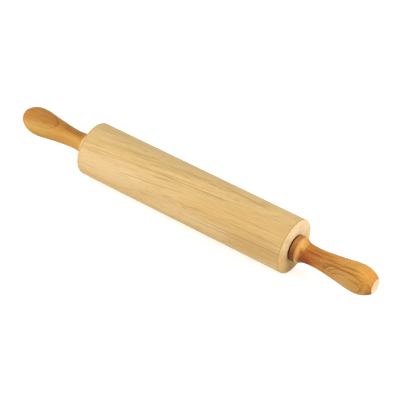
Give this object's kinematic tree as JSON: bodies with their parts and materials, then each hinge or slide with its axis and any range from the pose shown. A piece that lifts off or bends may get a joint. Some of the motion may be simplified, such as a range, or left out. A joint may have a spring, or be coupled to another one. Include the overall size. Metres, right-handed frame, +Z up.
{
  "type": "rolling pin",
  "caption": "Wooden rolling pin: a pale hardwood roller that turns on ball bearings round a steel rod, with turned and stained handles, brown collars and plugged ends.",
  "frame": {"origin": "on the table under the middle of the roller", "axes": "+X along the pin towards the right-hand handle, +Y towards the back, +Z up; the turning axis is one roller radius above the table"},
  "size_m": [0.5282, 0.07, 0.07],
  "materials": {
    "maple": "satin",
    "stained_wood": "semi-gloss lacquer",
    "collar_wood": "satin",
    "plug_wood": "satin",
    "fibre": "matt",
    "steel": "zinc plated",
    "bearing_steel": "ground",
    "brass": "plain"
  },
  "bodies": {
    "handles": {"axle_rod": "steel", "spacer_tube": "steel", "left_inner_race": "bearing_steel", "right_inner_race": "bearing_steel", "left_hub_spacer": "steel", "right_hub_spacer": "steel", "left_thrust_washer": "fibre", "right_thrust_washer": "fibre", "left_collar": "collar_wood", "right_collar": "collar_wood", "left_handle": "stained_wood", "right_handle": "stained_wood", "left_handle_washer": "steel", "right_handle_washer": "steel", "left_lock_nut": "steel", "right_lock_nut": "steel", "left_plug": "plug_wood", "right_plug": "plug_wood"},
    "roller": {"roller": "maple", "left_outer_race": "bearing_steel", "right_outer_race": "bearing_steel"},
    "left_ball_cage": {"left_balls": "bearing_steel", "left_cage": "brass"},
    "right_ball_cage": {"right_balls": "bearing_steel", "right_cage": "brass"}
  },
  "joints": [
    {"name": "roller_spin", "type": "hinge", "parent": "handles", "child": "roller", "pos_m": [0, 0, 0.035], "axis": [1, 0, 0], "continuous": true},
    {"name": "left_cage_spin", "type": "hinge", "parent": "handles", "child": "left_ball_cage", "pos_m": [-0.14793, 0, 0.035], "axis": [1, 0, 0], "continuous": true},
    {"name": "right_cage_spin", "type": "hinge", "parent": "handles", "child": "right_ball_cage", "pos_m": [0.14793, 0, 0.035], "axis": [1, 0, 0], "continuous": true}
  ],
  "couplings": [
    {"joint": "left_cage_spin", "follows": "roller_spin", "ratio": 0.6249},
    {"joint": "right_cage_spin", "follows": "roller_spin", "ratio": 0.6249}
  ]
}
